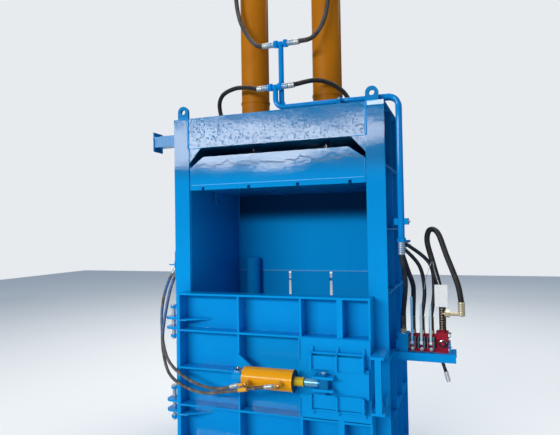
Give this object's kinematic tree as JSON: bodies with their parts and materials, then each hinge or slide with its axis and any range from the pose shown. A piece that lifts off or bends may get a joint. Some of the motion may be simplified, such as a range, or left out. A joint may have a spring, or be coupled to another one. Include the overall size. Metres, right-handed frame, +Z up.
{
  "type": "vertical hydraulic baler",
  "caption": "Upright press with a ribbed welded body, twin cylinders driving a platen, a side-hinged front door and a sliding hydraulic door lock.",
  "frame": {"origin": "on the floor, at the centre of the welded body's footprint", "axes": "+X to the right seen from the front, +Y to the back, +Z up"},
  "size_m": [2.025, 1.2765, 3.525],
  "materials": {
    "blue_paint": "gloss azure machine enamel",
    "yellow_paint": "gloss orange-yellow enamel",
    "bright_steel": "zinc-plated or ground steel",
    "red_paint": "gloss red enamel",
    "black_hose": "black rubber",
    "grey_hose": "dusty rubber",
    "brass": "plated fittings",
    "white_box": "white card in a clear sleeve",
    "green_yellow_paint": "yellow enamel"
  },
  "bodies": {
    "frame": {"base_frame": "blue_paint", "floor_plate": "blue_paint", "floor_bars": "blue_paint", "left_wall_plate": "blue_paint", "right_wall_plate": "blue_paint", "left_wall_posts": "blue_paint", "right_wall_posts": "blue_paint", "left_wall_rails": "blue_paint", "right_wall_rails": "blue_paint", "left_column": "blue_paint", "right_column": "blue_paint", "back_wall_upper": "blue_paint", "back_wall_lower": "blue_paint", "back_wall_ribs": "blue_paint", "front_head_beam": "blue_paint", "rear_head_beam": "blue_paint", "crown_plate": "blue_paint", "crown_webs": "blue_paint", "lifting_lugs": "blue_paint", "left_barrel": "yellow_paint", "right_barrel": "yellow_paint", "left_cylinder_head": "yellow_paint", "right_cylinder_head": "yellow_paint", "flange_bolts": "bright_steel", "rear_housing": "blue_paint", "stub_bracket": "blue_paint", "hinge_brackets": "blue_paint", "hinge_pins": "bright_steel", "strike_brackets": "blue_paint", "strike_bar": "blue_paint", "pressure_pipes": "blue_paint", "pipe_clamps": "blue_paint", "pipe_tees": "blue_paint", "main_hoses": "black_hose", "valve_shelf": "blue_paint", "valve_block": "red_paint", "valve_fittings": "brass", "valve_hoses": "black_hose", "hanging_card": "white_box", "card_wires": "bright_steel", "pump_hose": "black_hose", "side_bulkhead": "blue_paint", "lock_pipes": "blue_paint", "lock_hoses": "grey_hose"},
    "platen": {"platen_box": "blue_paint", "platen_webs": "blue_paint", "left_rod": "bright_steel", "right_rod": "bright_steel"},
    "door": {"door_panel": "blue_paint", "door_ribs": "blue_paint", "door_ears": "blue_paint", "lock_keepers": "blue_paint", "lock_barrel": "yellow_paint", "lock_gland": "green_yellow_paint", "lock_tail": "blue_paint"},
    "lock": {"lock_bar": "blue_paint", "lock_rod": "bright_steel"},
    "lever_1": {"lever_1": "bright_steel"},
    "lever_2": {"lever_2": "bright_steel"},
    "lever_3": {"lever_3": "bright_steel"}
  },
  "joints": [
    {"name": "platen_slide", "type": "slide", "parent": "frame", "child": "platen", "axis": [0, 0, 1], "range_m": [-1.1, 0]},
    {"name": "door_hinge", "type": "hinge", "parent": "frame", "child": "door", "pos_m": [-0.738, -0.45, 0.665], "axis": [0, 0, -1], "range_deg": [0, 110], "deforming": ["lock_hoses"]},
    {"name": "lock_slide", "type": "slide", "parent": "door", "child": "lock", "axis": [1, 0, 0], "range_m": [-0.09, 0.07]},
    {"name": "lever_1_hinge", "type": "hinge", "parent": "frame", "child": "lever_1", "pos_m": [0.825, -0.255, 0.842], "axis": [1, 0, 0], "range_deg": [-12, 12]},
    {"name": "lever_2_hinge", "type": "hinge", "parent": "frame", "child": "lever_2", "pos_m": [0.88, -0.255, 0.842], "axis": [1, 0, 0], "range_deg": [-12, 12]},
    {"name": "lever_3_hinge", "type": "hinge", "parent": "frame", "child": "lever_3", "pos_m": [0.935, -0.255, 0.842], "axis": [1, 0, 0], "range_deg": [-12, 12]}
  ]
}
